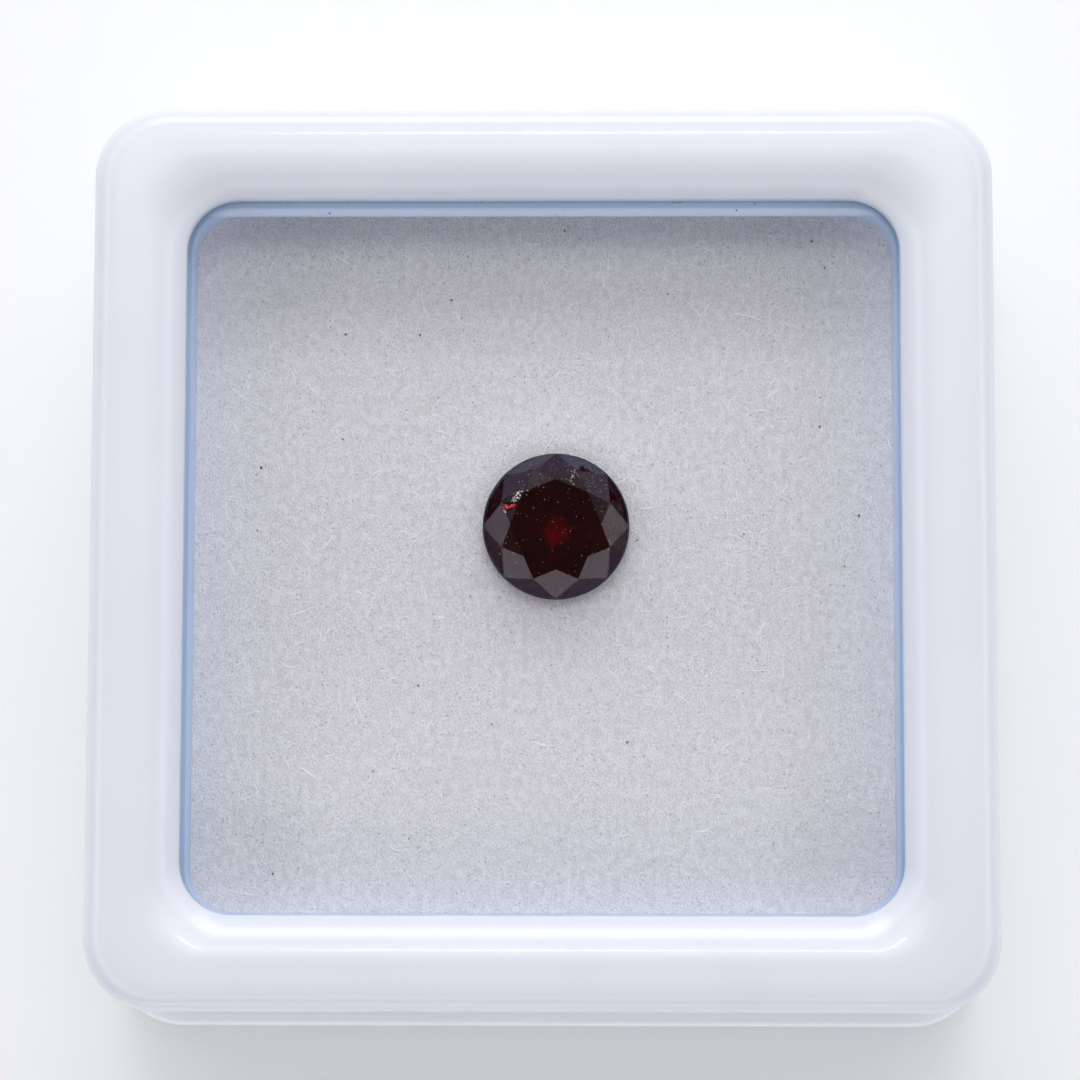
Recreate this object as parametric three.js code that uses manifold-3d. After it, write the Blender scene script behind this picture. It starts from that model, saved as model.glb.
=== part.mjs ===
// A loose round brilliant-cut diamond, dark red, kept table up in its small white gem box.
// The box is a tray with a felt-faced foam pad, and a lid whose rounded rim holds a clear pane.
// Units are millimetres, +Z is up, and the origin is the centre of the tray's underside.
import * as THREE from "three";
import { mergeVertices } from "three/addons/utils/BufferGeometryUtils.js";
import Module from "manifold-3d";

// Box, outside. A level is a rounded square: half its width, its corner radius and its height.
const BOX_HEIGHT = 15; // floor to the crest of the lid's rim
const FOOT = { half: 15, corner: 2.6, z: 2.2 }; // the tray's visible foot, up to the seam
const SKIRT = { half: 14.5, corner: 2.4 }; // bottom edge of the lid, inside the foot's ledge
const SEAM_GAP = 0.1; // between the foot's top and the lid's skirt

// Lid: the wall leans in to its top, rounds over to the crest, and slopes down to the window's lip
const WALL_TOP = { half: 14.1, corner: 2.2, z: 13.5 };
const CREST = { half: 12.6, corner: 2, z: BOX_HEIGHT };
const LIP = { half: 11.15, corner: 1.62 };
const SLOPE_RADIUS = 1.9; // of the inner slope's arc, which leaves the crest level
const LIP_WALL = 0.3; // upright part of the lip, above the pane
const SKIRT_INNER = { half: 13, corner: 1.4 };
const ROUND_POWER = 3.5; // of the rim's outer round: 2 is an ellipse, and more is boxier
const ROUND_STEPS = 9; // sections over the rim's outer round
const SLOPE_STEPS = 7; // sections down the rim's inner slope

// Window pane, set in the lid from below
const PANE = { half: 12, corner: 1.2, thick: 0.8 };
const PANE_CLEAR = 0.05; // all round, where the adhesive is

// Tray
const TRAY_WALL = { half: 12.8, corner: 1.3, top: 12.8 };
const CAVITY = { half: 11.1, corner: 1.4, floor: 1.4 };

// Pad
const PAD = { half: 11.04, corner: 1.35, top: 11.85 };
const PAD_FLOOR_GAP = 0.05;
const DIMPLE_CLEAR = 0.08; // between the pad and the stone's pavilion

// Diamond: shares are of the girdle diameter
const GIRDLE_DIAMETER = 4.6;
const TABLE_SHARE = 0.62; // across the table's corners
const STAR_TIP_SHARE = 0.8; // radius of the star facets' tips over the girdle radius
const CROWN_ANGLE = 34;
const PAVILION_ANGLE = 41;
const GIRDLE_SHARE = 0.04; // thickness of the girdle at its thickest
const LOWER_HALF_SHARE = 0.78; // length of the lower half facets from girdle to culet
const CULET_SHARE = 0.035; // across the culet's flats
const GIRDLE_SIDES = 96;
const TABLE_GAP = 0.05; // between the table and the pane's underside
const STONE_PLACE = { x: 0.41, y: 1.02 }; // of the stone's axis, from the box's
const SYMMETRY = 8;

const CORNER_STEPS = 9; // segments in each plan corner of the box
const CUTTER_SPARE = 1; // how far a cutter or a blank reaches past what it makes

const COLOURS = {
  plastic: { color: 0xe3e6ee, roughness: 0.32, metalness: 0 },
  felt: { color: 0xcfcfd4, roughness: 0.95, metalness: 0 },
  pane: { color: 0xf4f8fa, roughness: 0.02, metalness: 0, transparent: true, opacity: 0.25 },
  diamond: { color: 0x3a0a0c, roughness: 0.02, metalness: 0 },
};

const wasm = await Module();
wasm.setup();

// A closed three.js geometry as a solid that can be joined and cut.
function solidFrom(geometry) {
  const bare = new THREE.BufferGeometry();
  bare.setAttribute("position", geometry.getAttribute("position").clone());
  if (geometry.index) bare.setIndex(geometry.index.clone());
  const merged = mergeVertices(bare, 1e-4);
  return new wasm.Manifold(
    new wasm.Mesh({
      numProp: 3,
      vertProperties: merged.attributes.position.array,
      triVerts: new Uint32Array(merged.index.array),
    }),
  );
}

function geometryFrom(solid) {
  const { vertProperties, triVerts } = solid.getMesh();
  const geometry = new THREE.BufferGeometry();
  geometry.setAttribute("position", new THREE.BufferAttribute(new Float32Array(vertProperties), 3));
  geometry.setIndex(new THREE.BufferAttribute(new Uint32Array(triVerts), 1));
  geometry.computeVertexNormals();
  return geometry;
}

// Points round a square with round corners, counter-clockwise from the +X side.
function roundedSquare(half, corner) {
  const points = [];
  const centre = half - corner;
  for (let quarter = 0; quarter < 4; quarter++) {
    const turn = (quarter * Math.PI) / 2;
    const x = centre * (Math.cos(turn) - Math.sin(turn));
    const y = centre * (Math.sin(turn) + Math.cos(turn));
    for (let step = 0; step <= CORNER_STEPS; step++) {
      const angle = turn + ((step / CORNER_STEPS) * Math.PI) / 2;
      points.push([x + corner * Math.cos(angle), y + corner * Math.sin(angle)]);
    }
  }
  return points;
}

// A slab with a rounded-square outline, from one height to another.
function slab(half, corner, low, high) {
  const shape = new THREE.Shape(roundedSquare(half, corner).map(([x, y]) => new THREE.Vector2(x, y)));
  return new THREE.ExtrudeGeometry(shape, { depth: high - low, bevelEnabled: false }).translate(0, 0, low);
}

// A ring swept round the box: each section is a rounded square at its own height, and the last
// one joins the first. The sections run up the outside, over the top and down the inside.
function ringThrough(sections) {
  const loops = sections.map(({ half, corner, z }) =>
    roundedSquare(half, corner).map(([x, y]) => [x, y, z]),
  );
  const around = loops[0].length;
  const index = [];
  loops.forEach((_, row) => {
    const next = (row + 1) % loops.length;
    for (let i = 0; i < around; i++) {
      const j = (i + 1) % around;
      const [a, b, c, d] = [row * around + i, row * around + j, next * around + j, next * around + i];
      index.push(a, b, c, a, c, d);
    }
  });
  const geometry = new THREE.BufferGeometry();
  geometry.setAttribute("position", new THREE.Float32BufferAttribute(loops.flat(2), 3));
  geometry.setIndex(index);
  return geometry;
}

const mix = (a, b, share) => a + (b - a) * share;

// How far the inner slope has dropped, at a distance in from the crest.
const slopeDrop = (inwards) => SLOPE_RADIUS - Math.sqrt(SLOPE_RADIUS ** 2 - inwards ** 2);
const LIP_Z = CREST.z - slopeDrop(CREST.half - LIP.half);
const PANE_TOP = LIP_Z - LIP_WALL - PANE_CLEAR;
const PANE_UNDERSIDE = PANE_TOP - PANE.thick;

// The lid: leaning wall, rounded rim, inner slope down to the lip, and the seat for the pane.
function lidGeometry() {
  const sections = [{ ...SKIRT, z: FOOT.z + SEAM_GAP }];
  for (let step = 0; step <= ROUND_STEPS; step++) {
    const angle = ((step / ROUND_STEPS) * Math.PI) / 2;
    const inwards = 1 - Math.cos(angle) ** (2 / ROUND_POWER);
    sections.push({
      half: mix(WALL_TOP.half, CREST.half, inwards),
      corner: mix(WALL_TOP.corner, CREST.corner, inwards),
      z: mix(WALL_TOP.z, CREST.z, Math.sin(angle) ** (2 / ROUND_POWER)),
    });
  }
  for (let step = 1; step <= SLOPE_STEPS; step++) {
    const share = step / SLOPE_STEPS;
    const half = mix(CREST.half, LIP.half, share);
    const corner = mix(CREST.corner, LIP.corner, share);
    sections.push({ half, corner, z: CREST.z - slopeDrop(CREST.half - half) });
  }
  const seat = { half: PANE.half + PANE_CLEAR, corner: PANE.corner + PANE_CLEAR };
  sections.push(
    { ...LIP, z: PANE_TOP + PANE_CLEAR },
    { ...seat, z: PANE_TOP + PANE_CLEAR },
    { ...seat, z: PANE_UNDERSIDE },
    { ...SKIRT_INNER, z: PANE_UNDERSIDE },
    { ...SKIRT_INNER, z: FOOT.z + SEAM_GAP },
  );
  return ringThrough(sections);
}

const paneGeometry = () => slab(PANE.half, PANE.corner, PANE_UNDERSIDE, PANE_TOP);

// The tray: a foot that stands out past the lid, and an upright wall that the lid slides over.
function trayGeometry() {
  const foot = solidFrom(slab(FOOT.half, FOOT.corner, 0, FOOT.z));
  const wall = solidFrom(slab(TRAY_WALL.half, TRAY_WALL.corner, FOOT.z / 2, TRAY_WALL.top));
  const cavity = solidFrom(slab(CAVITY.half, CAVITY.corner, CAVITY.floor, TRAY_WALL.top + CUTTER_SPARE));
  return geometryFrom(foot.add(wall).subtract(cavity));
}

const radians = THREE.MathUtils.degToRad;
const girdleRadius = GIRDLE_DIAMETER / 2;
const sector = (2 * Math.PI) / SYMMETRY;

// A point at a bearing from the stone's axis, at a radius and a height.
const at = (bearing, radius, z) =>
  new THREE.Vector3(radius * Math.cos(bearing), radius * Math.sin(bearing), z);

// The planes of a round brilliant, facing out. The girdle's upper edge is at height 0.
function facetPlanes() {
  const crownSlope = Math.tan(radians(CROWN_ANGLE));
  const pavilionSlope = Math.tan(radians(PAVILION_ANGLE));
  const girdle = GIRDLE_SHARE * GIRDLE_DIAMETER;
  const tableRadius = (TABLE_SHARE * GIRDLE_DIAMETER) / 2;
  const tableZ = (girdleRadius - tableRadius) * crownSlope;
  const starRadius = STAR_TIP_SHARE * girdleRadius;
  const starZ = (girdleRadius - starRadius * Math.cos(sector / 2)) * crownSlope;
  const lowerRadius = (1 - LOWER_HALF_SHARE) * girdleRadius;
  const lowerZ = -girdle - (girdleRadius - lowerRadius * Math.cos(sector / 2)) * pavilionSlope;
  const culetZ = -girdle - (girdleRadius - (CULET_SHARE * GIRDLE_DIAMETER) / 2) * pavilionSlope;

  const inside = new THREE.Vector3(0, 0, -girdle / 2);
  const planes = [];
  const through = (a, b, c) => {
    const plane = new THREE.Plane().setFromCoplanarPoints(a, b, c);
    if (plane.distanceToPoint(inside) > 0) plane.negate();
    planes.push(plane);
  };
  planes.push(new THREE.Plane(new THREE.Vector3(0, 0, 1), -tableZ));
  planes.push(new THREE.Plane(new THREE.Vector3(0, 0, -1), culetZ));
  for (let i = 0; i < SYMMETRY; i++) {
    const main = i * sector;
    const half = main + sector / 2;
    const next = main + sector;
    // Kite and pavilion main: level along the girdle's tangent at the main's bearing.
    const along = new THREE.Vector3(-Math.sin(main), Math.cos(main), 0);
    const top = at(main, girdleRadius, 0);
    const bottom = at(main, girdleRadius, -girdle);
    through(top, top.clone().add(along), at(main, tableRadius, tableZ));
    through(bottom, bottom.clone().add(along), at(main, 0, -girdle - girdleRadius * pavilionSlope));
    const starTip = at(half, starRadius, starZ);
    const lowerTip = at(half, lowerRadius, lowerZ);
    // Star: an edge of the table and the tip between two kites.
    through(at(main, tableRadius, tableZ), at(next, tableRadius, tableZ), starTip);
    // The two upper and the two lower girdle facets that meet at this half bearing.
    for (const side of [main, next]) {
      through(starTip, at(side, girdleRadius, 0), at(half, girdleRadius, 0));
      through(lowerTip, at(side, girdleRadius, -girdle), at(half, girdleRadius, -girdle));
    }
  }
  return { planes, tableZ, culetZ };
}

const { planes: FACETS, tableZ: TABLE_Z, culetZ: CULET_Z } = facetPlanes();
const GIRDLE_Z = PANE_UNDERSIDE - TABLE_GAP - TABLE_Z; // of the girdle's upper edge, in the box

// The stone: a round blank, cut by each facet's plane in turn.
function diamondSolid() {
  const height = TABLE_Z - CULET_Z + CUTTER_SPARE;
  const blank = new THREE.CylinderGeometry(girdleRadius, girdleRadius, height, GIRDLE_SIDES)
    .rotateX(Math.PI / 2)
    .rotateZ(Math.PI / GIRDLE_SIDES)
    .translate(0, 0, (TABLE_Z + CULET_Z) / 2);
  return FACETS.reduce(
    (stone, { normal, constant }) => stone.trimByPlane(normal.clone().negate().toArray(), constant),
    solidFrom(blank),
  );
}

// The pad: a block of foam, with a cone pressed into it by the stone's pavilion.
function padGeometry() {
  const block = solidFrom(slab(PAD.half, PAD.corner, CAVITY.floor + PAD_FLOOR_GAP, PAD.top));
  const slope = Math.tan(radians(PAVILION_ANGLE));
  const girdleBottom = GIRDLE_Z - GIRDLE_SHARE * GIRDLE_DIAMETER;
  const apex = girdleBottom - girdleRadius * slope - DIMPLE_CLEAR / Math.cos(radians(PAVILION_ANGLE));
  const height = PAD.top + CUTTER_SPARE - apex;
  const cone = new THREE.ConeGeometry(height / slope, height, GIRDLE_SIDES / 2)
    .rotateX(-Math.PI / 2)
    .translate(STONE_PLACE.x, STONE_PLACE.y, apex + height / 2);
  return geometryFrom(block.subtract(solidFrom(cone)));
}

const box = new THREE.Group();

function addPiece(name, geometry, look, place = [0, 0, 0]) {
  const mesh = new THREE.Mesh(geometry, new THREE.MeshStandardMaterial(look));
  mesh.name = name;
  mesh.position.set(...place);
  box.add(mesh);
}

addPiece("tray", trayGeometry(), COLOURS.plastic);
addPiece("pad", padGeometry(), COLOURS.felt);
const stoneOrigin = [STONE_PLACE.x, STONE_PLACE.y, GIRDLE_Z];
addPiece("diamond", geometryFrom(diamondSolid()), COLOURS.diamond, stoneOrigin);
addPiece("window_pane", paneGeometry(), COLOURS.pane);
addPiece("lid", lidGeometry(), COLOURS.plastic);

export default box;
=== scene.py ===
import math
import random

import bpy
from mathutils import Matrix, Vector, noise


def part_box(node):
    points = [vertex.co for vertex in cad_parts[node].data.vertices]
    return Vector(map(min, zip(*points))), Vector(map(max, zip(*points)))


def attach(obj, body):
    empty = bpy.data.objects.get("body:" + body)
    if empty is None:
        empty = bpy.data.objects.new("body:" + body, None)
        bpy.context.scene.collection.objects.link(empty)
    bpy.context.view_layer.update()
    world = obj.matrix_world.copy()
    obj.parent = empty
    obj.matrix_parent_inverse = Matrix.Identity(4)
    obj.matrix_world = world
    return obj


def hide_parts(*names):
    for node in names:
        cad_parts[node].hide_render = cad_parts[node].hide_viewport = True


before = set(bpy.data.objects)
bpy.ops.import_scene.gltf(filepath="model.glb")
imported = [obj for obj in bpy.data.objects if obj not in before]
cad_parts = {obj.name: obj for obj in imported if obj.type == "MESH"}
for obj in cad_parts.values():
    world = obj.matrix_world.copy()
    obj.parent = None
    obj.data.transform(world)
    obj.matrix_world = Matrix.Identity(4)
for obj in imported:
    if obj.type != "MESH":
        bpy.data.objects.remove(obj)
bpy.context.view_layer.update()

# Lengths in this script are in millimetres, and MM brings them to the frame's metres.
MM = 0.001
BODY = "root"


def node_box(name):
    """A CAD node's lowest and highest corner, in millimetres."""
    low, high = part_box(name)
    return low / MM, high / MM


_, TRAY_HIGH = node_box("tray")
LID_LOW, LID_HIGH = node_box("lid")
PAD_LOW, PAD_HIGH = node_box("pad")
PANE_LOW, PANE_HIGH = node_box("window_pane")
STONE_LOW, STONE_HIGH = node_box("diamond")

# Box: a half is half a width, a corner is a radius in plan, an ease is how far an edge is rounded off
SEAM_GAP = 0.1
CLEARANCE = 0.05
FOOT_HALF = TRAY_HIGH.x
FOOT_CORNER = 2.6
FOOT_TOP = LID_LOW.z - SEAM_GAP
SKIRT_HALF = LID_HIGH.x
SKIRT_CORNER = 2.4
WALL_TOP_HALF = 14.1
WALL_TOP_CORNER = 2.2
WALL_TOP_Z = 13.5
CREST_HALF = 12.6
CREST_CORNER = 2.0
CREST_Z = LID_HIGH.z
LIP_HALF = 11.15
LIP_CORNER = 1.62
SLOPE_RADIUS = 1.9
LIP_Z = CREST_Z - SLOPE_RADIUS + math.sqrt(SLOPE_RADIUS**2 - (CREST_HALF - LIP_HALF) ** 2)
ROUND_POWER = 3.5
LEDGE_Z = PANE_HIGH.z + CLEARANCE
SEAT_HALF = PANE_HIGH.x + CLEARANCE
SEAT_CORNER = 1.25
SKIRT_INNER_HALF = 13.0
SKIRT_INNER_CORNER = 1.4
TRAY_WALL_HALF = 12.8
TRAY_WALL_CORNER = 1.3
CAVITY_HALF = 11.1
CAVITY_CORNER = 1.4
CAVITY_FLOOR = PAD_LOW.z - CLEARANCE
SKIRT_EASE = 0.15
LIP_EASE = 0.07
LIP_FOOT_EASE = 0.04
FOOT_EASE = 0.18
FOOT_UNDER_EASE = 0.4
TRAY_WALL_EASE = 0.12

# Pad: it fills the cavity, sinks a little at its edges and rises round the stone
PAD_HALF = CAVITY_HALF - 0.004
PAD_CORNER = 1.39
PAD_CELLS = 210
PAD_SINK = 0.16
PAD_ROLL = 0.12
PAD_ROLL_REACH = 0.7
PAD_RISE = 0.38
PAD_RISE_REACH = 1.3
PAD_DIMPLE_CLEAR = 0.09
PAD_OUTLINE_POWER = 14

# Stone: the culet cuts off the tip that the pavilion's main facets would meet in
CULET_SHARE = 0.035
PAVILION_ANGLE = 41
STONE_CENTRE = (STONE_LOW + STONE_HIGH) / 2
STONE_RADIUS = (STONE_HIGH.x - STONE_LOW.x) / 2
CULET_RADIUS = CULET_SHARE * STONE_RADIUS
CULET_Z = STONE_LOW.z
PAVILION_SLOPE = math.tan(math.radians(PAVILION_ANGLE))
GIRDLE_LOW = CULET_Z + (STONE_RADIUS - CULET_RADIUS) * PAVILION_SLOPE
PAVILION_TIP_Z = CULET_Z - CULET_RADIUS * PAVILION_SLOPE

# Meshes


def add_mesh(name, points, faces, material, smooth_angle=None):
    """A mesh object from points in millimetres, riding on the body."""
    mesh = bpy.data.meshes.new(name)
    mesh.from_pydata([(x * MM, y * MM, z * MM) for x, y, z in points], [], faces)
    mesh.validate()
    mesh.update()
    if smooth_angle is not None:
        mesh.polygons.foreach_set("use_smooth", [True] * len(mesh.polygons))
        mesh.set_sharp_from_angle(angle=math.radians(smooth_angle))
    mesh.materials.append(material)
    piece = bpy.data.objects.new(name, mesh)
    bpy.context.scene.collection.objects.link(piece)
    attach(piece, BODY)
    return piece


def rounded_square(half, corner, corner_steps=16, side_steps=20):
    """Points round a square with round corners, counter-clockwise."""
    points = []
    centre = half - corner
    for quarter in range(4):
        turn = quarter * math.pi / 2
        cos_turn = math.cos(turn)
        sin_turn = math.sin(turn)
        for step in range(corner_steps + 1):
            angle = step / corner_steps * math.pi / 2
            x = centre + corner * math.cos(angle)
            y = centre + corner * math.sin(angle)
            points.append((x * cos_turn - y * sin_turn, x * sin_turn + y * cos_turn))
        for step in range(1, side_steps):
            x = centre * (1 - 2 * step / side_steps)
            points.append((x * cos_turn - half * sin_turn, x * sin_turn + half * cos_turn))
    return points


def loft(levels, ring):
    """Points and faces through levels of (half, corner, z): a ring closed on itself, or a capped body."""
    points = []
    for half, corner, z in levels:
        points += [(x, y, z) for x, y in rounded_square(half, corner)]
    around = len(points) // len(levels)
    faces = []
    for row in range(len(levels) if ring else len(levels) - 1):
        above = (row + 1) % len(levels)
        for i in range(around):
            j = (i + 1) % around
            faces.append((row * around + i, row * around + j, above * around + j, above * around + i))
    if not ring:
        faces.append(tuple(reversed(range(around))))
        faces.append(tuple(range((len(levels) - 1) * around, len(levels) * around)))
    return points, faces


def eased_corner(before, edge, after, radius, steps=4):
    """Levels that round off the profile's corner at edge, between the levels before and after it."""
    first = edge + (before - edge).normalized() * radius
    last = edge + (after - edge).normalized() * radius
    levels = []
    for step in range(steps + 1):
        share = step / steps
        levels.append(first.lerp(edge, share).lerp(edge.lerp(last, share), share))
    return levels


# Materials


class Nodes:
    """A material's nodes, made one after another."""

    def __init__(self, name):
        self.material = bpy.data.materials.new(name)
        self.material.use_nodes = True
        self.material.cycles.emission_sampling = "NONE"
        self.tree = self.material.node_tree
        self.shader = self.tree.nodes["Principled BSDF"]
        self.output = self.tree.nodes["Material Output"]
        self.place = self.add("ShaderNodeTexCoord").outputs["Object"]

    def add(self, kind, **settings):
        node = self.tree.nodes.new(kind)
        for key, value in settings.items():
            setattr(node, key, value)
        return node

    def link(self, source, target):
        self.tree.links.new(source, target)

    def set(self, **values):
        for key, value in values.items():
            self.shader.inputs[key.replace("_", " ")].default_value = value

    def noise(self, per_mm, detail=1, rough=0.55, stretch=1.0, space="3D"):
        """A noise pattern with so many features to the millimetre, drawn out along Y by stretch."""
        node = self.add("ShaderNodeTexNoise", noise_dimensions=space)
        node.inputs["Scale"].default_value = per_mm / MM
        node.inputs["Detail"].default_value = detail
        node.inputs["Roughness"].default_value = rough
        drawn = self.add("ShaderNodeMapping")
        drawn.inputs["Scale"].default_value = (1, 1 / stretch, 1)
        self.link(self.place, drawn.inputs["Vector"])
        self.link(drawn.outputs["Vector"], node.inputs["Vector"])
        return node.outputs["Fac"]

    def dots(self, per_mm, reach_mm):
        """1 in the middle of dots scattered in plan, so many to the millimetre, and 0 outside their reach."""
        node = self.add("ShaderNodeTexVoronoi", voronoi_dimensions="2D")
        node.inputs["Scale"].default_value = per_mm / MM
        self.link(self.place, node.inputs["Vector"])
        return self.span(node.outputs["Distance"], 0.3 * reach_mm * per_mm, reach_mm * per_mm, 1, 0)

    def span(self, value, low, high, to_low, to_high):
        """value brought from low..high to to_low..to_high."""
        node = self.add("ShaderNodeMapRange")
        self.link(value, node.inputs["Value"])
        for key, number in zip(("From Min", "From Max", "To Min", "To Max"), (low, high, to_low, to_high)):
            node.inputs[key].default_value = number
        return node.outputs["Result"]

    def math(self, operation, first, second):
        """Two values put together. The second may be a plain number."""
        node = self.add("ShaderNodeMath", operation=operation)
        self.link(first, node.inputs[0])
        if isinstance(second, bpy.types.NodeSocket):
            self.link(second, node.inputs[1])
        else:
            node.inputs[1].default_value = second
        return node.outputs["Value"]

    def spot(self, centre, reach, power):
        """1 at a centre, falling to 0 at a reach along each axis, both in millimetres."""
        value = self.place
        for operation, by in (("SUBTRACT", centre), ("DIVIDE", reach)):
            node = self.add("ShaderNodeVectorMath", operation=operation)
            self.link(value, node.inputs[0])
            node.inputs[1].default_value = Vector(by) * MM
            value = node.outputs["Vector"]
        away = self.add("ShaderNodeVectorMath", operation="LENGTH")
        self.link(value, away.inputs[0])
        return self.math("POWER", self.span(away.outputs["Value"], 0, 1, 1, 0), power)

    def mix(self, factor, first, second):
        """A colour between first and second, each a colour or a socket."""
        node = self.add("ShaderNodeMix", data_type="RGBA")
        self.link(factor, node.inputs["Factor"])
        for key, colour in (("A", first), ("B", second)):
            socket = next(s for s in node.inputs if s.name == key and s.type == "RGBA")
            if isinstance(colour, bpy.types.NodeSocket):
                self.link(colour, socket)
            else:
                socket.default_value = (*colour, 1)
        return next(s for s in node.outputs if s.type == "RGBA")

    def bump(self, height, distance_mm, socket="Normal"):
        """Relief so many millimetres deep, on top of what the shader's normal already has."""
        node = self.add("ShaderNodeBump")
        node.inputs["Distance"].default_value = distance_mm * MM
        self.link(height, node.inputs["Height"])
        normal = self.shader.inputs[socket]
        if normal.is_linked:
            self.link(normal.links[0].from_socket, node.inputs["Normal"])
        self.link(node.outputs["Normal"], normal)

    def glow(self, amount, colour, strength):
        """Light of a colour by an amount from 0, all clear, to 1."""
        passing = self.add("ShaderNodeBsdfTransparent")
        light = self.add("ShaderNodeEmission")
        light.inputs["Color"].default_value = (*colour, 1)
        light.inputs["Strength"].default_value = strength
        mixed = self.add("ShaderNodeMixShader")
        self.link(amount, mixed.inputs["Fac"])
        self.link(passing.outputs["BSDF"], mixed.inputs[1])
        self.link(light.outputs["Emission"], mixed.inputs[2])
        self.link(mixed.outputs["Shader"], self.output.inputs["Surface"])


UNLIT = (0, 0, 0)
# Painted shade: blues for the plastic inside the window, where it lies in shade with cool light coming
# through it, and the heights where that painted blue begins and is full.
SHADE_BLUE_DARK = (0.60, 0.73, 0.96)
SHADE_BLUE_PALE = (0.66, 0.78, 0.98)
SHADE_BLUE_FROM_Z = 10.2
SHADE_BLUE_FULL_Z = 10.8


def lid_plastic():
    """Moulded milky white plastic with a cool cast, semi-gloss, a little uneven. Its lip inside the window is
    painted blue: painted shade, with cool light coming through the thin plastic.
    """
    n = Nodes("lid_plastic")
    split = n.add("ShaderNodeSeparateXYZ")
    n.link(n.place, split.inputs["Vector"])
    # Painted shade: the lip's wall inside the window gets a blue colour for the shaded plastic with cool
    # light coming through it.
    lip = n.span(split.outputs["Z"], (LIP_Z - 0.10) * MM, (LIP_Z - 0.04) * MM, 1, 0)
    across = n.math("ABSOLUTE", split.outputs["X"], 0)
    along = n.math("ABSOLUTE", split.outputs["Y"], 0)
    inside = n.span(n.math("MAXIMUM", across, along), LIP_HALF * MM, (LIP_HALF + 0.06) * MM, 1, 0)
    white = n.mix(n.noise(0.25), (0.78, 0.80, 0.875), (0.825, 0.84, 0.90))
    blue = n.mix(n.noise(0.9), (0.66, 0.80, 0.97), (0.72, 0.84, 0.98))
    n.link(n.mix(n.math("MULTIPLY", lip, inside), white, blue), n.shader.inputs["Base Color"])
    n.link(n.span(n.noise(0.8), 0.3, 0.7, 0.30, 0.35), n.shader.inputs["Roughness"])
    n.bump(n.noise(0.9), 0.004)
    n.bump(n.noise(11), 0.0010, socket="Coat Normal")
    n.set(IOR=1.49, Coat_Weight=0.3, Coat_Roughness=0.08)
    return n.material


def tray_plastic():
    """The same plastic, painted blue inside the window for its shade and the cool light through it, with a
    painted glow on the foot's ledge for the little light coming through it.
    """
    ledge_light = (0.14, 0.14, 0.14)
    n = Nodes("tray_plastic")
    split = n.add("ShaderNodeSeparateXYZ")
    n.link(n.place, split.inputs["Vector"])
    # Painted shade: the tray above this height takes the blue, for shade lit through the plastic.
    inside = n.span(split.outputs["Z"], SHADE_BLUE_FROM_Z * MM, SHADE_BLUE_FULL_Z * MM, 0, 1)
    white = n.mix(n.noise(0.25), (0.81, 0.825, 0.875), (0.85, 0.86, 0.90))
    # Painted shade: the wall's top, under the lip, is a deeper blue.
    top = n.span(split.outputs["Z"], (TRAY_HIGH.z - 0.08) * MM, (TRAY_HIGH.z - 0.02) * MM, 0, 1)
    blue = n.mix(top, n.mix(n.noise(0.9), SHADE_BLUE_DARK, SHADE_BLUE_PALE), (0.50, 0.68, 0.95))
    n.link(n.mix(inside, white, blue), n.shader.inputs["Base Color"])
    # Painted light: the foot's ledge glows a little, for light coming through the plastic.
    above = n.span(split.outputs["Z"], (FOOT_TOP - 0.20) * MM, (FOOT_TOP - 0.02) * MM, 0, 1)
    below = n.span(split.outputs["Z"], (FOOT_TOP + 0.1) * MM, (FOOT_TOP + 0.4) * MM, 1, 0)
    ledge = n.math("MULTIPLY", above, below)
    n.link(n.mix(ledge, UNLIT, ledge_light), n.shader.inputs["Emission Color"])
    n.link(n.span(n.noise(0.8), 0.3, 0.7, 0.29, 0.38), n.shader.inputs["Roughness"])
    n.bump(n.noise(0.9), 0.004)
    n.set(IOR=1.49, Emission_Strength=1.0)
    return n.material


def felt_cloth():
    """Pale felt with a fine grain and small pores, lit a little through the box's wall at its edges."""
    lit_from = 7
    side_light = (0.095, 0.095, 0.115)
    near_light = (0.095, 0.095, 0.11)
    n = Nodes("felt_cloth")
    grain = n.span(n.noise(20, detail=2, rough=0.7, stretch=1.5, space="2D"), 0.36, 0.64, 0, 1)
    coarse = n.span(n.noise(4.5, detail=3, rough=0.6, stretch=1.4, space="2D"), 0.36, 0.64, 0, 1)
    fine = n.mix(grain, (0.56, 0.53, 0.55), (0.95, 0.91, 0.93))
    rough = n.mix(coarse, (0.69, 0.655, 0.655), (0.88, 0.85, 0.885))
    soft = n.mix(n.span(n.noise(0.5), 0.35, 0.65, 0.35, 0.6), fine, rough)
    pores = n.mix(n.dots(2.6, 0.045), soft, (0.46, 0.44, 0.44))
    n.link(n.mix(n.span(n.noise(1.1), 0.48, 0.60, 0, 1), soft, pores), n.shader.inputs["Base Color"])
    split = n.add("ShaderNodeSeparateXYZ")
    n.link(n.place, split.inputs["Vector"])
    across = n.math("ABSOLUTE", split.outputs["X"], 0)
    down = n.math("MULTIPLY", split.outputs["Y"], -1)
    edge = n.span(n.math("MAXIMUM", across, down), lit_from * MM, PAD_HALF * MM, 0, 1)
    near_side = n.span(split.outputs["Y"], -2 * MM, -PAD_HALF * MM, 0, 1)
    through = n.mix(edge, UNLIT, side_light)
    glow = n.mix(n.math("MULTIPLY", near_side, 0.8), through, near_light)
    n.link(glow, n.shader.inputs["Emission Color"])
    n.bump(n.noise(3.5, stretch=1.4, space="2D"), 0.02)
    n.bump(n.noise(16, rough=0.7, stretch=1.5, space="2D"), 0.026)
    n.set(Roughness=0.95, Specular_IOR_Level=0.0, Emission_Strength=1.0)
    return n.material


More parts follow.
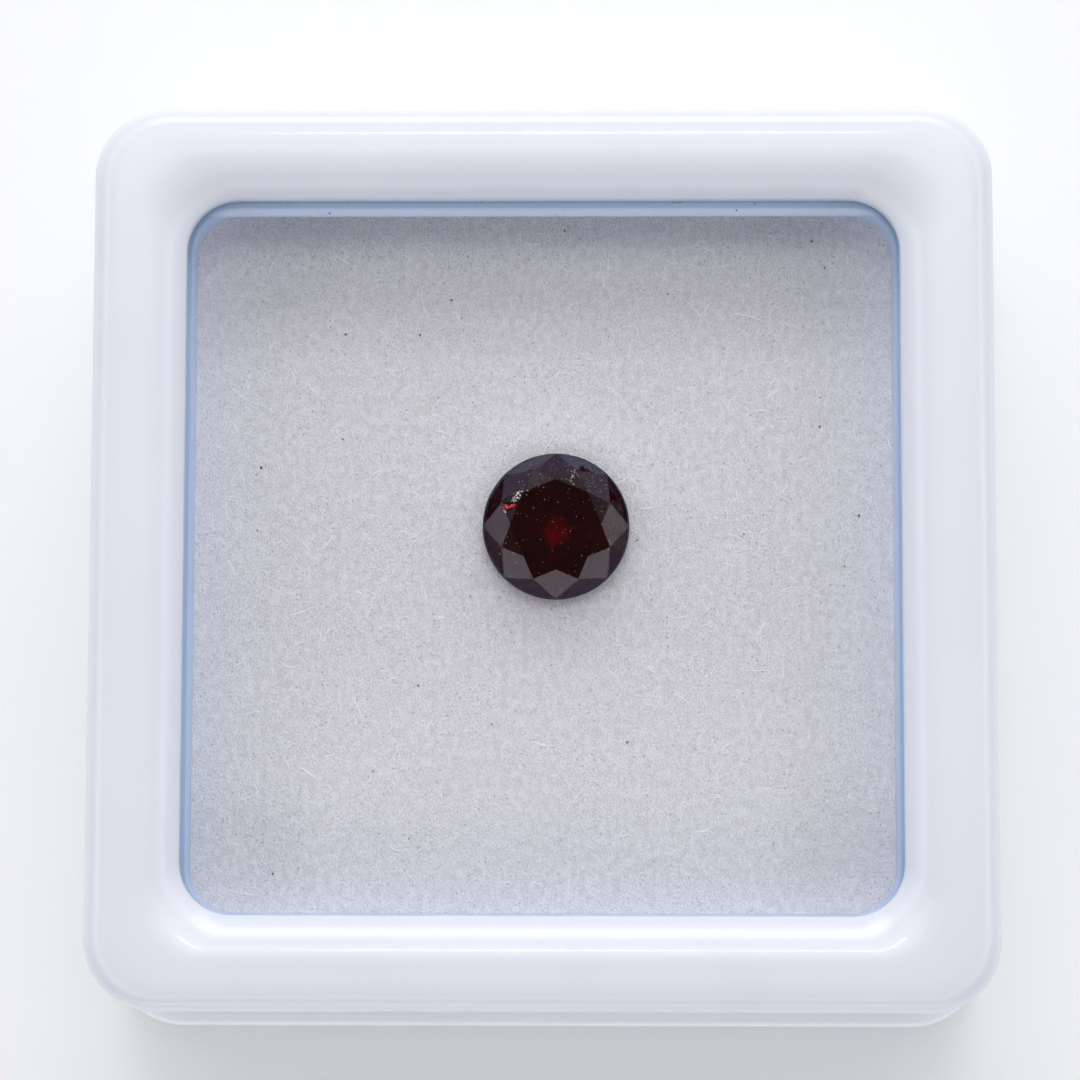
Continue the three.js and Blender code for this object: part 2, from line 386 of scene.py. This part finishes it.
def nap_fibre(name, glow):
    """Pale fibre, a little brighter than the felt by its glow."""
    n = Nodes(name)
    n.link(n.mix(n.noise(2.2), (0.88, 0.86, 0.875), (0.98, 0.965, 0.975)), n.shader.inputs["Base Color"])
    n.link(n.span(n.noise(5), 0.3, 0.7, 0.5, 0.8), n.shader.inputs["Roughness"])
    n.set(Emission_Color=(1, 0.99, 1, 1), Emission_Strength=glow)
    return n.material


def pane_clear():
    """Clear pane. Lamps shine through it, so that what it covers is lit."""
    n = Nodes("pane_clear")
    n.set(Transmission_Weight=1.0, IOR=1.49, Specular_IOR_Level=0.25, Roughness=0.0)
    n.link(n.mix(n.noise(0.4), (0.97, 0.98, 0.99), (0.99, 0.995, 1.0)), n.shader.inputs["Base Color"])
    passing = n.add("ShaderNodeBsdfTransparent")
    passing.inputs["Color"].default_value = (0.95, 0.96, 0.97, 1)
    ray = n.add("ShaderNodeLightPath")
    mixed = n.add("ShaderNodeMixShader")
    straight = n.math("MAXIMUM", ray.outputs["Is Shadow Ray"], ray.outputs["Is Diffuse Ray"])
    n.link(straight, mixed.inputs["Fac"])
    n.link(n.shader.outputs["BSDF"], mixed.inputs[1])
    n.link(passing.outputs["BSDF"], mixed.inputs[2])
    n.link(mixed.outputs["Shader"], n.output.inputs["Surface"])
    return n.material


def diamond_crystal():
    """Clear polished crystal whose body takes up nearly all light but the deep red."""
    n = Nodes("diamond_crystal")
    n.set(Transmission_Weight=1.0, IOR=2.417, Roughness=0.0)
    n.set(Specular_IOR_Level=0.37, Specular_Tint=(0.97, 0.93, 1, 1))
    n.link(n.mix(n.noise(1.5), (0.97, 0.95, 0.95), (1.0, 0.99, 0.99)), n.shader.inputs["Base Color"])
    body = n.add("ShaderNodeVolumeAbsorption")
    body.inputs["Color"].default_value = (0.73, 0.12, 0.10, 1)
    body.inputs["Density"].default_value = 2400
    n.link(body.outputs["Volume"], n.output.inputs["Volume"])
    return n.material


def girdle_frost():
    """Dark frosted crystal."""
    n = Nodes("girdle_frost")
    n.link(n.mix(n.noise(7), (0.014, 0.012, 0.020), (0.040, 0.034, 0.052)), n.shader.inputs["Base Color"])
    n.set(Roughness=0.55)
    return n.material


def painted_glint_feather():
    """Broken crystal in white patches that glow: a painted glint."""
    n = Nodes("painted_glint_feather")
    patches = n.span(n.noise(45), 0.48, 0.56, 0, 1)
    n.link(n.mix(patches, (0.03, 0.03, 0.03), (0.97, 0.97, 0.96)), n.shader.inputs["Base Color"])
    # Painted highlight: the white patches glow, standing in for a glint.
    n.link(n.mix(patches, UNLIT, (0.9, 0.9, 0.88)), n.shader.inputs["Emission Color"])
    n.set(Roughness=0.25, Emission_Strength=1.2)
    return n.material


def painted_dark_facet():
    """Nearly black, matt crystal: a painted dark reflection over a facet of the crown."""
    n = Nodes("painted_dark_facet")
    # Painted dark reflection: these near-black flakes darken the facet beside the table.
    n.link(n.mix(n.noise(9), (0.003, 0.002, 0.002), (0.014, 0.008, 0.008)), n.shader.inputs["Base Color"])
    n.set(Roughness=0.8, Specular_IOR_Level=0.08)
    return n.material


def feather_bright():
    """Crystal that sends back bright red light, in uneven patches."""
    n = Nodes("feather_bright")
    hot = n.span(n.noise(12, detail=2), 0.42, 0.60, 0, 1)
    n.link(n.mix(hot, (0.10, 0.002, 0.004), (0.55, 0.01, 0.012)), n.shader.inputs["Base Color"])
    n.link(n.mix(hot, (0.10, 0.0, 0.001), (1.0, 0.008, 0.006)), n.shader.inputs["Emission Color"])
    n.set(Roughness=0.5, Emission_Strength=0.5)
    return n.material


def feathers_dim(feathers):
    """Dim red light round the middle of each feather, given as (x, y, reach) from the stone's axis."""
    n = Nodes("feathers_dim")
    amount = None
    for x, y, reach in feathers:
        centre = (STONE_CENTRE.x + x, STONE_CENTRE.y + y, GIRDLE_LOW + 0.3)
        near = n.spot(centre, (reach * 0.55, reach * 0.55, 2), 1.6)
        amount = near if amount is None else n.math("MAXIMUM", near, amount)
    n.glow(n.math("MULTIPLY", amount, n.span(n.noise(5), 0.3, 0.7, 0.15, 0.9)), (1, 0.05, 0.12), 0.036)
    return n.material


def painted_red_glow():
    """Red light: a soft ball at the stone's tip, a wide faint one, a thin ray and a short streak."""
    n = Nodes("painted_red_glow")
    amount = None
    for x, y, reach_x, reach_y, power, weight in (
        (0.0, -0.20, 0.85, 0.80, 3.4, 1.0),
        (0.0, 0.0, 2.2, 2.2, 0.5, 0.060),
        (0.44, -0.02, 0.50, 0.04, 1.0, 0.40),
        (-0.12, -0.52, 0.10, 0.34, 1.0, 0.35),
    ):
        centre = (STONE_CENTRE.x + x, STONE_CENTRE.y + y, CULET_Z + 0.3)
        near = n.math("MULTIPLY", n.spot(centre, (reach_x, reach_y, 8), power), weight)
        amount = near if amount is None else n.math("MAXIMUM", near, amount)
    n.glow(n.math("MULTIPLY", amount, n.span(n.noise(2.4), 0.35, 0.65, 0.5, 1)), (1, 0.08, 0.05), 0.58)
    return n.material


def floor_pale():
    """Plain pale paper."""
    n = Nodes("floor_pale")
    n.link(n.mix(n.noise(0.05), (0.91, 0.91, 0.90), (0.94, 0.94, 0.93)), n.shader.inputs["Base Color"])
    n.set(Roughness=0.9, Emission_Color=(1, 1, 0.99, 1), Emission_Strength=0.07)
    return n.material


def speck(name, dark, pale, rough):
    """A grain's material, between two colours."""
    n = Nodes(name)
    n.link(n.mix(n.noise(9), dark, pale), n.shader.inputs["Base Color"])
    n.set(Roughness=rough)
    return n.material


# Lid


def lid_corner(half, z):
    """The lid's corner radius in plan at a place on its profile."""
    if half <= CREST_HALF:
        share = (half - LIP_HALF) / (CREST_HALF - LIP_HALF)
        return LIP_CORNER + (CREST_CORNER - LIP_CORNER) * share
    if z > WALL_TOP_Z:
        share = (half - CREST_HALF) / (WALL_TOP_HALF - CREST_HALF)
        return CREST_CORNER + (WALL_TOP_CORNER - CREST_CORNER) * share
    share = (z - LID_LOW.z) / (WALL_TOP_Z - LID_LOW.z)
    return SKIRT_CORNER + (WALL_TOP_CORNER - SKIRT_CORNER) * share


def lid_levels():
    """The lid's profile, from the skirt's outer edge up, over the rim, down the lip and back inside."""
    at = lambda half, z: Vector((half, z))
    skirt_outer = at(SKIRT_HALF, LID_LOW.z)
    skirt_inner = at(SKIRT_INNER_HALF, LID_LOW.z)
    wall_top = at(WALL_TOP_HALF, WALL_TOP_Z)
    wall_steps = 9
    round_steps = 24
    slope_steps = 18
    profile = eased_corner(skirt_inner, skirt_outer, wall_top, SKIRT_EASE)
    for step in range(1, wall_steps):
        profile.append(skirt_outer.lerp(wall_top, step / wall_steps))
    for step in range(round_steps + 1):
        angle = step / round_steps * math.pi / 2
        outwards = max(math.cos(angle), 0) ** (2 / ROUND_POWER)
        upwards = math.sin(angle) ** (2 / ROUND_POWER)
        half = CREST_HALF + (WALL_TOP_HALF - CREST_HALF) * outwards
        profile.append(at(half, WALL_TOP_Z + (CREST_Z - WALL_TOP_Z) * upwards))
    slope = []
    for step in range(1, slope_steps + 1):
        inwards = (CREST_HALF - LIP_HALF) * step / slope_steps
        drop = SLOPE_RADIUS - math.sqrt(SLOPE_RADIUS**2 - inwards**2)
        slope.append(at(CREST_HALF - inwards, CREST_Z - drop))
    lip_low = at(LIP_HALF, LEDGE_Z)
    profile += slope[:-1]
    profile += eased_corner(slope[-2], slope[-1], lip_low, LIP_EASE)
    profile += eased_corner(slope[-1], lip_low, at(SEAT_HALF, LEDGE_Z), LIP_FOOT_EASE)
    levels = [(half, lid_corner(half, z), z) for half, z in profile]
    levels.append((SEAT_HALF, SEAT_CORNER, LEDGE_Z))
    levels.append((SEAT_HALF, SEAT_CORNER, PANE_LOW.z))
    levels.append((SKIRT_INNER_HALF, SKIRT_INNER_CORNER, PANE_LOW.z))
    levels.append((SKIRT_INNER_HALF, SKIRT_INNER_CORNER, LID_LOW.z))
    return levels


def build_lid():
    """The lid's frame, one closed ring."""
    points, faces = loft(lid_levels(), ring=True)
    lid = add_mesh("lid_frame", points, faces, lid_plastic(), smooth_angle=35)
    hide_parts("lid")


# Tray


def tray_levels():
    """The tray's profile, from the underside out and up the foot, up the wall and down into the cavity."""
    under = FOOT_UNDER_EASE
    ease = FOOT_EASE
    soft = TRAY_WALL_EASE
    steps = 4
    levels = [(FOOT_HALF - under, FOOT_CORNER - under, 0)]
    for step in range(1, steps + 1):
        angle = step / steps * math.pi / 2
        half = FOOT_HALF - under * (1 - math.sin(angle))
        levels.append((half, FOOT_CORNER - FOOT_HALF + half, under * (1 - math.cos(angle))))
    for step in range(steps + 1):
        angle = step / steps * math.pi / 2
        half = FOOT_HALF - ease * (1 - math.cos(angle))
        levels.append((half, FOOT_CORNER - FOOT_HALF + half, FOOT_TOP - ease * (1 - math.sin(angle))))
    levels.append((TRAY_WALL_HALF, TRAY_WALL_CORNER, FOOT_TOP))
    levels.append((TRAY_WALL_HALF, TRAY_WALL_CORNER, TRAY_HIGH.z - soft))
    levels.append((TRAY_WALL_HALF - soft * 0.3, TRAY_WALL_CORNER, TRAY_HIGH.z - soft * 0.3))
    levels.append((TRAY_WALL_HALF - soft, TRAY_WALL_CORNER - soft, TRAY_HIGH.z))
    levels.append((CAVITY_HALF + soft, CAVITY_CORNER + soft, TRAY_HIGH.z))
    levels.append((CAVITY_HALF + soft * 0.3, CAVITY_CORNER, TRAY_HIGH.z - soft * 0.3))
    levels.append((CAVITY_HALF, CAVITY_CORNER, TRAY_HIGH.z - soft))
    levels.append((CAVITY_HALF, CAVITY_CORNER, CAVITY_FLOOR))
    return levels


def build_tray():
    """The tray: foot, wall and the floor of its cavity."""
    points, faces = loft(tray_levels(), ring=False)
    tray = add_mesh("tray_body", points, faces, tray_plastic(), smooth_angle=35)
    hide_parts("tray")


# Pad


def pad_height(x, y):
    """The pad's top at a place: a little uneven, lower at its edges, and bulging up round the stone."""
    wave = noise.noise(Vector((x * 0.45, y * 0.45, 3.1))) * 0.03
    grain = noise.noise(Vector((x * 3.5, y * 3.5, 7.7))) * 0.012
    edge = max(PAD_HALF - max(abs(x), abs(y)), 0)
    roll = PAD_ROLL * math.exp(-edge / PAD_ROLL_REACH)
    top = PAD_HIGH.z - PAD_SINK + wave + grain - roll
    out = math.hypot(x - STONE_CENTRE.x, y - STONE_CENTRE.y)
    rise = PAD_RISE * math.exp(-((max(out - STONE_RADIUS, 0) / PAD_RISE_REACH) ** 2))
    cone = PAVILION_TIP_Z + out * PAVILION_SLOPE - PAD_DIMPLE_CLEAR
    return min(top + rise, cone)


def round_off(x, y):
    """A point of a square moved so that the square's outline gets the pad's round corners."""
    reach = max(abs(x), abs(y))
    if reach == 0:
        return x, y
    angle = math.atan2(min(abs(x), abs(y)), reach)
    square = PAD_HALF / math.cos(angle)
    centre = PAD_HALF - PAD_CORNER
    if PAD_HALF * math.tan(angle) > centre:
        along = centre * (math.cos(angle) + math.sin(angle))
        off = centre * (math.cos(angle) - math.sin(angle))
        edge = along + math.sqrt(PAD_CORNER**2 - off**2)
    else:
        edge = square
    scale = 1 - (1 - edge / square) * (reach / PAD_HALF) ** PAD_OUTLINE_POWER
    return x * scale, y * scale


def build_pad():
    """The pad: a grid of cells for its top, joined down to a flat underside."""
    points = []
    for row in range(PAD_CELLS + 1):
        for column in range(PAD_CELLS + 1):
            x, y = round_off(
                PAD_HALF * (2 * column / PAD_CELLS - 1),
                PAD_HALF * (2 * row / PAD_CELLS - 1),
            )
            points.append((x, y, pad_height(x, y)))
    wide = PAD_CELLS + 1
    faces = []
    for row in range(PAD_CELLS):
        for column in range(PAD_CELLS):
            i = row * wide + column
            faces.append((i, i + 1, i + 1 + wide, i + wide))
    border = list(range(PAD_CELLS))
    border += [PAD_CELLS + row * wide for row in range(PAD_CELLS)]
    border += [PAD_CELLS * wide + PAD_CELLS - column for column in range(PAD_CELLS)]
    border += [(PAD_CELLS - row) * wide for row in range(PAD_CELLS)]
    under = []
    for i in border:
        under.append(len(points))
        points.append((points[i][0], points[i][1], PAD_LOW.z))
    for k in range(len(border)):
        after = (k + 1) % len(border)
        faces.append((border[after], border[k], under[k], under[after]))
    faces.append(tuple(reversed(under)))
    pad = add_mesh("pad_felt", points, faces, felt_cloth(), smooth_angle=60)
    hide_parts("pad")


def add_fibre(points, faces, start, heading, length, lift, thick, bend):
    """One fibre: a thin three-sided thread that arches off the pad and comes back to it."""
    steps = 3
    sides = 3
    x, y = start
    base = len(points)
    for step in range(steps + 1):
        share = step / steps
        turn = heading + bend * (share - 0.5)
        if step:
            x += math.cos(turn) * length / steps
            y += math.sin(turn) * length / steps
        z = pad_height(x, y) + lift * math.sin(share * math.pi) - thick * 0.2
        taper = thick * (1 if step < steps else 0.35)
        for side in range(sides):
            angle = side / sides * 2 * math.pi
            across = math.cos(angle) * taper
            side_x = x - math.sin(turn) * across
            side_y = y + math.cos(turn) * across
            points.append((side_x, side_y, z + math.sin(angle) * taper))
    for step in range(steps):
        for side in range(sides):
            a = base + step * sides + side
            b = base + step * sides + (side + 1) % sides
            faces.append((a, b, b + sides, a + sides))
    faces.append((base + 2, base + 1, base))
    end = base + steps * sides
    faces.append((end, end + 1, end + 2))


def build_nap():
    """The pad's nap: fine short fibres that mostly lie one way, and a few longer, thicker, curled ones."""
    short = nap_fibre("nap_fibre", 0.0)
    long = nap_fibre("stray_fibre", 0.07)
    for name, seed, count, longest, thickest, spread, curl, material in (
        ("pad_nap", 40, 6000, 0.34, 0.011, 1.1, 1.4, short),
        ("pad_strays", 42, 560, 0.85, 0.021, 1.6, 2.6, long),
    ):
        draw = random.Random(seed)
        points, faces = [], []
        for _ in range(count):
            reach = PAD_HALF - 0.3
            start = (draw.uniform(-reach, reach), draw.uniform(-reach, reach))
            heading = math.pi / 2 + draw.gauss(0, spread)
            length = longest * draw.uniform(0.35, 1)
            lift = draw.uniform(0.0, 0.02)
            thick = thickest * draw.uniform(0.5, 1)
            bend = draw.uniform(-curl, curl)
            tip = (start[0] + math.cos(heading) * length, start[1] + math.sin(heading) * length)
            near = min(math.hypot(px - STONE_CENTRE.x, py - STONE_CENTRE.y) for px, py in (start, tip))
            if near < STONE_RADIUS - 0.3 or max(abs(tip[0]), abs(tip[1])) > PAD_HALF - 0.05:
                continue
            add_fibre(points, faces, start, heading, length, lift, thick, bend)
        nap = add_mesh(name, points, faces, material, smooth_angle=80)


# Specks


def add_grain(points, faces, centre, size, draw):
    """An eight-sided grain, a little irregular."""
    base = len(points)
    for x, y, z in ((1, 0, 0), (0, 1, 0), (-1, 0, 0), (0, -1, 0), (0, 0, 1), (0, 0, -1)):
        grow = size * draw.uniform(0.7, 1.3)
        points.append((centre[0] + x * grow, centre[1] + y * grow, centre[2] + z * grow))
    for i in range(4):
        j = (i + 1) % 4
        faces.append((base + i, base + j, base + 4))
        faces.append((base + j, base + i, base + 5))


def build_dust():
    """Dark dust and pale lint on the pad, and dark dust on the pane along the lip's far side."""
    dark = speck("dust_dark", (0.03, 0.03, 0.03), (0.12, 0.10, 0.09), 0.9)
    pale = speck("lint_pale", (0.90, 0.89, 0.88), (0.98, 0.98, 0.97), 0.8)
    for name, seed, count, smallest, spread, material in (
        ("dust", 11, 80, 0.013, 0.030, dark),
        ("lint", 12, 90, 0.012, 0.026, pale),
    ):
        draw = random.Random(seed)
        points, faces = [], []
        for _ in range(count):
            x = draw.uniform(-PAD_HALF + 0.4, PAD_HALF - 0.4)
            y = draw.uniform(-PAD_HALF + 0.4, PAD_HALF - 0.4)
            if math.hypot(x - STONE_CENTRE.x, y - STONE_CENTRE.y) < STONE_RADIUS + 0.1:
                continue
            size = smallest + spread * draw.random() ** 4
            add_grain(points, faces, (x, y, pad_height(x, y) + 0.02), size, draw)
        add_mesh(name, points, faces, material)
    draw = random.Random(13)
    points, faces = [], []
    lip_grains = 26
    along_lip = 9.5
    for _ in range(lip_grains):
        x = draw.uniform(-along_lip, along_lip)
        y = LIP_HALF - 0.03 - 0.5 * draw.random() ** 3
        add_grain(points, faces, (x, y, PANE_HIGH.z + 0.01), 0.012 + 0.022 * draw.random() ** 2, draw)
    add_mesh("lip_dust", points, faces, dark)


# Stone and pane


def build_stone():
    """The CAD stone itself, with its crystal material."""
    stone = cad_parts["diamond"]
    stone.data.materials.clear()
    stone.data.materials.append(diamond_crystal())
    return stone


def on_stone(stone, x, y):
    """The place and slope of the stone's upper side over a point that is x, y from its axis."""
    above = Vector((STONE_CENTRE.x + x, STONE_CENTRE.y + y, STONE_HIGH.z + 1)) * MM
    hit, place, normal, _ = stone.ray_cast(above, Vector((0, 0, -1)))
    return (place / MM, normal) if hit else (None, None)


def build_girdle(stone):
    """The girdle's frosted band, which turns over a little on to the crown."""
    steps = 192
    proud = 0.010
    over = 0.040
    points = []
    for step in range(steps):
        angle = 2 * math.pi * step / steps
        cos_angle, sin_angle = math.cos(angle), math.sin(angle)
        inner, _ = on_stone(stone, (STONE_RADIUS - over) * cos_angle, (STONE_RADIUS - over) * sin_angle)
        edge, _ = on_stone(stone, (STONE_RADIUS - proud) * cos_angle, (STONE_RADIUS - proud) * sin_angle)
        for radius, z in (
            (STONE_RADIUS - over, inner.z + 0.003),
            (STONE_RADIUS - proud, edge.z + 0.006),
            (STONE_RADIUS + proud, edge.z - 0.012),
            (STONE_RADIUS + proud, GIRDLE_LOW + 0.03),
            (STONE_RADIUS - 0.003, GIRDLE_LOW + 0.03),
            (STONE_RADIUS - proud, edge.z - 0.010),
            (STONE_RADIUS - over, inner.z - 0.004),
        ):
            points.append((STONE_CENTRE.x + radius * cos_angle, STONE_CENTRE.y + radius * sin_angle, z))
    around = len(points) // steps
    faces = []
    for step in range(steps):
        after = (step + 1) % steps
        for k in range(around):
            j = (k + 1) % around
            faces.append((step * around + k, step * around + j, after * around + j, after * around + k))
    add_mesh("girdle_frost", points, faces, girdle_frost(), smooth_angle=40)


def build_pinpoints(stone):
    """Pale pinpoint crystals that reach the table and the crown, half sunk in them."""
    draw = random.Random(23)
    points, faces = [], []
    all_round, far_side = (0, 2 * math.pi), (0.25, 1.9)
    for count, nearest, spread in ((150, 0.0, all_round), (80, 0.62, far_side)):
        for _ in range(count):
            out = STONE_RADIUS * math.sqrt(draw.uniform(nearest**2, 0.95**2))
            angle = draw.uniform(*spread)
            place, normal = on_stone(stone, out * math.cos(angle), out * math.sin(angle))
            size = 0.007 + 0.013 * draw.random() ** 3
            add_grain(points, faces, place - normal * size * 0.4, size, draw)
    pale = speck("pinpoint_pale", (0.62, 0.50, 0.38), (0.98, 0.95, 0.92), 0.35)
    add_mesh("pinpoints", points, faces, pale)


def build_glitter(stone):
    """Rough white feathers that break the surface beside the table, as heaps of bright grains that glow, a
    painted glint.
    """
    draw = random.Random(31)
    points, faces = [], []
    for count, start, end, spread, largest in (
        (60, (-1.36, 0.70), (-1.04, 1.10), 0.055, 0.022),
        (10, (-1.64, 0.40), (-1.54, 0.42), 0.030, 0.014),
        (40, (0.42, 1.34), (0.62, 1.62), 0.085, 0.014),
    ):
        for _ in range(count):
            along = draw.random()
            x = start[0] + (end[0] - start[0]) * along + draw.gauss(0, spread)
            y = start[1] + (end[1] - start[1]) * along + draw.gauss(0, spread)
            place, normal = on_stone(stone, x, y)
            add_grain(points, faces, place + normal * 0.012, largest * draw.uniform(0.3, 1), draw)
    add_mesh("glitter", points, faces, painted_glint_feather())


def add_flake(points, faces, stone, x, y, width, height, lift, rim, draw):
    """A thin flake with an uneven outline that follows the crown, lifted off it or, below 0, sunk in it."""
    base = len(points)
    plan = []
    for k in range(rim):
        angle = 2 * math.pi * k / rim
        grow = draw.uniform(0.55, 1.25)
        plan.append(Vector((x + width * grow * math.cos(angle), y + height * grow * math.sin(angle))))
    furthest = 0.96
    half_thick = Vector((0, 0, 0.003))
    for spot in plan + [Vector((x, y))] * 2:
        if spot.length > STONE_RADIUS * furthest:
            spot = spot.normalized() * STONE_RADIUS * furthest
        place, normal = on_stone(stone, spot.x, spot.y)
        points.append(place + normal * lift)
    points[-2] = points[-2] + half_thick
    points[-1] = points[-1] - half_thick
    for k in range(rim):
        after = (k + 1) % rim
        faces.append((base + k, base + after, base + rim))
        faces.append((base + after, base + k, base + rim + 1))


def build_dark_facet_and_red_feather(stone, draw):
    """Dark flakes in the crown, a painted dark reflection on the facet there, with a bright red feather in it
    that glows, painted red light.
    """
    dark_flakes = ((-1.46, 0.66, 0.20, 0.20), (-1.24, 0.74, 0.16, 0.24))
    red_flakes = ((-1.48, 0.56, 0.15, 0.06), (-1.37, 0.58, 0.10, 0.07), (-1.56, 0.60, 0.07, 0.05))
    # The dark flakes paint a dark reflection; the red flakes glow, painted red light.
    for name, flakes, lift, rim, material in (
        ("dark_facet_painted", dark_flakes, 0.006, 11, painted_dark_facet()),
        ("feather_bright", red_flakes, 0.012, 16, feather_bright()),
    ):
        points, faces = [], []
        for x, y, width, height in flakes:
            add_flake(points, faces, stone, x, y, width, height, lift, rim, draw)
        add_mesh(name, points, faces, material)


def build_dim_feathers(stone, draw):
    """Soft dim red feathers close under the crown, which only glow: painted red light."""
    feathers = (
        (-1.50, 1.44, 0.32),
        (-0.78, 1.84, 0.24),
        (1.12, 1.34, 0.26),
        (1.74, 1.30, 0.24),
        (-1.90, 0.90, 0.28),
    )
    points, faces = [], []
    for x, y, reach in feathers:
        add_flake(points, faces, stone, x, y, reach, reach, -0.03, 20, draw)
    add_mesh("feathers_dim", points, faces, feathers_dim(feathers))


def build_painted_red_glow():
    """A thin cone just inside the pavilion that carries the painted red glow round the stone's tip, standing
    in for light that comes up through the pavilion there.
    """
    rim = 40
    inside = 0.06
    lowest = STONE_RADIUS * 0.08
    highest = STONE_RADIUS * 0.86
    points = []
    for radius in (lowest, highest):
        for k in range(rim):
            angle = 2 * math.pi * (k + 0.5) / rim
            x = STONE_CENTRE.x + radius * math.cos(angle)
            y = STONE_CENTRE.y + radius * math.sin(angle)
            points.append((x, y, PAVILION_TIP_Z + radius * PAVILION_SLOPE + inside))
    faces = [tuple(range(rim))]
    for k in range(rim):
        after = (k + 1) % rim
        faces.append((k, after, after + rim, k + rim))
    add_mesh("painted_red_glow", points, faces, painted_red_glow())


def build_pane():
    """The CAD pane itself, with its clear material."""
    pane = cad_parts["window_pane"]
    pane.data.materials.clear()
    pane.data.materials.append(pane_clear())


# Stage, light and camera

ROOM_LIGHT = 1.9
LAMPS_FACE_Z = 0.013
CAMERA_PLACE = (1.60, -10.22, 116.47)
CAMERA_TURN = (5.95, 0.93, 0.03)
CAMERA_LENS = 110.5


def build_floor():
    """A plain pale floor, in metres."""
    mesh = bpy.data.meshes.new("floor")
    reach = 1.5
    corners = [(-reach, -reach, 0), (reach, -reach, 0), (reach, reach, 0), (-reach, reach, 0)]
    mesh.from_pydata(corners, [], [(0, 1, 2, 3)])
    floor = bpy.data.objects.new("floor", mesh)
    bpy.context.scene.collection.objects.link(floor)
    mesh.materials.append(floor_pale())


def soft_box(name, azimuth, elevation, distance, width, height, watts):
    """A rectangular lamp that faces the object, in metres. Azimuth 0 is on the +Y side."""
    lamp = bpy.data.lights.new(name, "AREA")
    lamp.shape = "RECTANGLE"
    lamp.size = width
    lamp.size_y = height
    lamp.energy = watts
    holder = bpy.data.objects.new(name, lamp)
    holder.visible_camera = False
    turn = math.radians(azimuth)
    rise = math.radians(elevation)
    away = Vector((math.sin(turn) * math.cos(rise), math.cos(turn) * math.cos(rise), math.sin(rise)))
    holder.location = away * distance + Vector((0, 0, LAMPS_FACE_Z))
    holder.rotation_euler = away.to_track_quat("Z", "Y").to_euler()
    bpy.context.scene.collection.objects.link(holder)


def build_lamps():
    """Two soft lamps on the far side, each with a bright line before it, and a strip on the near side."""
    for name, azimuth, elevation, distance, width, height, watts in (
        ("key", 0, 66, 0.5, 0.5, 0.20, 0.56),
        ("low_lamp", 0, 31, 0.5, 0.40, 0.18, 0.65),
        ("front_strip", 180, 0, 0.5, 0.5, 0.016, 0.30),
        ("low_line", 0, 31, 0.49, 0.11, 0.012, 0.16),
        ("high_line", 0, 67, 0.49, 0.11, 0.010, 0.10),
    ):
        soft_box(name, azimuth, elevation, distance, width, height, watts)


def build_world():
    """A soft grey room with a bright band all round, half-way up, and a dark ceiling."""
    world = bpy.data.worlds.new("room")
    bpy.context.scene.world = world
    world.use_nodes = True
    tree = world.node_tree
    back = tree.nodes["Background"]
    place = tree.nodes.new("ShaderNodeTexCoord")
    split = tree.nodes.new("ShaderNodeSeparateXYZ")
    tree.links.new(place.outputs["Generated"], split.inputs["Vector"])
    ramp = tree.nodes.new("ShaderNodeValToRGB")
    tree.links.new(split.outputs["Z"], ramp.inputs["Fac"])
    cool, plain = (0.67, 0.70, 1.0), (0.98, 0.985, 1.0)
    stops = (
        (0.0, 0.18, cool),
        (0.18, 0.26, cool),
        (0.28, 0.26, cool),
        (0.37, 0.35, plain),
        (0.46, 0.32, plain),
        (0.53, 1.12, plain),
        (0.65, 1.12, plain),
        (0.70, 0.09, plain),
        (0.80, 0.009, plain),
    )
    while len(ramp.color_ramp.elements) < len(stops):
        ramp.color_ramp.elements.new(0.5)
    for element, (height, light, tint) in zip(ramp.color_ramp.elements, stops):
        element.position = height
        element.color = (*(light * part for part in tint), 1)
    tree.links.new(ramp.outputs["Color"], back.inputs["Color"])
    back.inputs["Strength"].default_value = ROOM_LIGHT


def build_camera():
    """The camera above the box, a little to the near side."""
    data = bpy.data.cameras.new("camera")
    data.sensor_width = 36
    data.lens = CAMERA_LENS
    data.clip_start = 0.005
    data.clip_end = 10
    camera = bpy.data.objects.new("camera", data)
    camera.location = Vector(CAMERA_PLACE) * MM
    camera.rotation_mode = "ZYX"
    camera.rotation_euler = [math.radians(turn) for turn in CAMERA_TURN]
    bpy.context.scene.collection.objects.link(camera)
    bpy.context.scene.camera = camera


def set_light_paths():
    """How far light is followed: deep enough for the stone behind the pane."""
    bpy.context.scene.view_settings.view_transform = "Standard"
    cycles = bpy.context.scene.cycles
    cycles.max_bounces = 8
    cycles.diffuse_bounces = 2
    cycles.glossy_bounces = 1
    cycles.transmission_bounces = 7
    cycles.light_sampling_threshold = 0.03


# The whole scene

build_camera()
build_floor()
build_world()
build_lamps()
build_lid()
build_tray()
build_pad()
build_nap()
build_dust()
crystal = build_stone()
build_girdle(crystal)
build_pinpoints(crystal)
build_glitter(crystal)
flake_draw = random.Random(5)
build_dark_facet_and_red_feather(crystal, flake_draw)
build_dim_feathers(crystal, flake_draw)
build_painted_red_glow()
build_pane()
set_light_paths()
